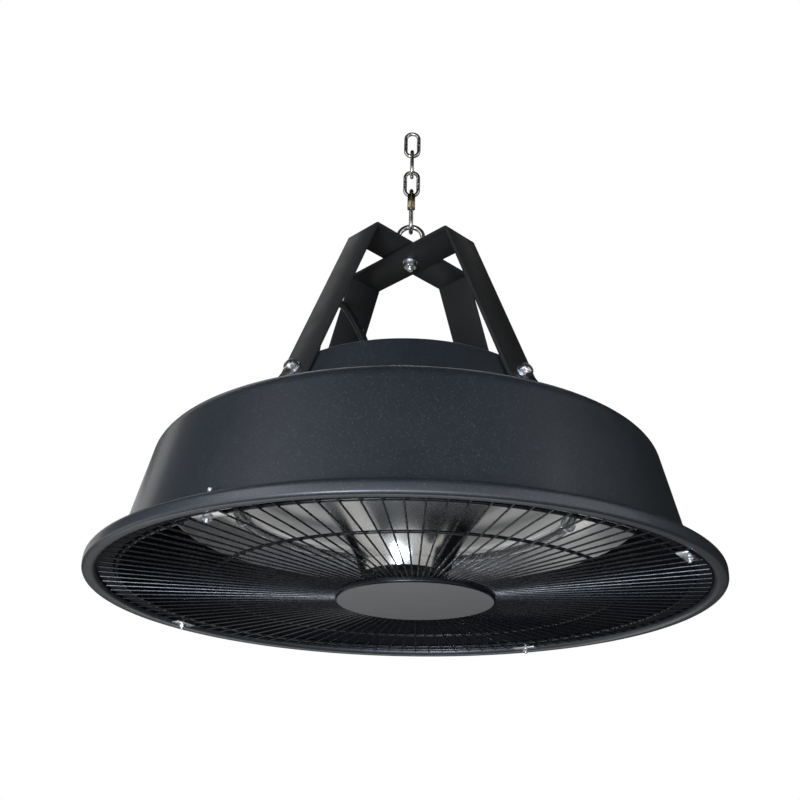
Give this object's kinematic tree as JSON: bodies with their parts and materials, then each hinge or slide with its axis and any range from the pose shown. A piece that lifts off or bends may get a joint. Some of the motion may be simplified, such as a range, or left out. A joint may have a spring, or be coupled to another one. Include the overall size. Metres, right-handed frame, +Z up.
{
  "type": "hanging patio heater",
  "caption": "Hanging patio heater: dark spun dish with a guarded ring lamp, on two crossed straps and a short chain.",
  "frame": {"origin": "seat of the ceiling hook: the inside of the top chain link's crown", "axes": "+Z up along the chain and the dish's axis, +X to the right and +Y away for someone facing the side with the chain connector's sleeve"},
  "size_m": [0.6159, 0.616, 0.578],
  "materials": {
    "polished_steel": "polished",
    "zinc_steel": "satin zinc",
    "bracket_paint": "satin",
    "shade_paint": "fine-flecked powder coat",
    "guard_black": "satin",
    "guard_grey": "matte",
    "mirror_finish": "polished",
    "quartz": "clear",
    "carbon": "woven strand",
    "ceramic": "matte ceramic",
    "lead_sleeve": "matte",
    "gland_plastic": "satin",
    "cord_rubber": "satin",
    "plug_metal": "nickel plated"
  },
  "bodies": {
    "anchor_link": {"chain_link_top": "polished_steel"},
    "upper_link": {"chain_link_upper": "polished_steel"},
    "lower_link": {"chain_link_lower": "polished_steel"},
    "quick_link": {"quick_link_body": "polished_steel"},
    "quick_sleeve": {"quick_link_sleeve": "polished_steel"},
    "heater": {"eye_bolt": "polished_steel", "eye_washer": "zinc_steel", "eye_nut": "zinc_steel", "strap_lower": "bracket_paint", "strap_upper": "bracket_paint", "leg_bolts": "zinc_steel", "leg_washers": "zinc_steel", "leg_cap_nuts": "zinc_steel", "top_cap": "shade_paint", "cap_screws": "zinc_steel", "cap_nuts": "zinc_steel", "dish": "shade_paint", "reflector_pan": "mirror_finish", "reflector_hub": "mirror_finish", "reflector_posts": "zinc_steel", "quartz_tube": "quartz", "carbon_strand": "carbon", "lamp_ends": "ceramic", "lamp_clips": "zinc_steel", "terminal_block": "ceramic", "lamp_leads": "lead_sleeve", "guard_wires": "guard_black", "guard_mid_ring": "guard_black", "guard_outer_ring": "guard_black", "guard_disc": "guard_grey", "rim_clips": "zinc_steel", "rim_clip_screws": "zinc_steel", "rim_clip_spacers": "zinc_steel", "rim_clip_nuts": "zinc_steel", "gland_body": "gland_plastic", "gland_nut": "gland_plastic", "gland_boot": "cord_rubber", "gland_locknut": "gland_plastic", "power_cord": "cord_rubber", "cord_coil": "cord_rubber", "coil_tie": "gland_plastic", "plug_body": "cord_rubber", "plug_pins": "plug_metal"}
  },
  "joints": [
    {"name": "upper_link_swing", "type": "hinge", "parent": "anchor_link", "child": "upper_link", "pos_m": [0, 0, -0.03125], "axis": [1, 0, 0], "range_deg": [-45, 45]},
    {"name": "lower_link_swing", "type": "hinge", "parent": "upper_link", "child": "lower_link", "pos_m": [0, 0, -0.05995], "axis": [0, 1, 0], "range_deg": [-45, 45]},
    {"name": "quick_link_swing", "type": "hinge", "parent": "lower_link", "child": "quick_link", "pos_m": [0, 0, -0.08865], "axis": [1, 0, 0], "range_deg": [-45, 45]},
    {"name": "sleeve_slide", "type": "slide", "parent": "quick_link", "child": "quick_sleeve", "axis": [0, 0, -1], "range_m": [0, 0.015]},
    {"name": "heater_swing", "type": "hinge", "parent": "quick_link", "child": "heater", "pos_m": [0, 0, -0.1386], "axis": [0, 1, 0], "range_deg": [-30, 30]}
  ]
}
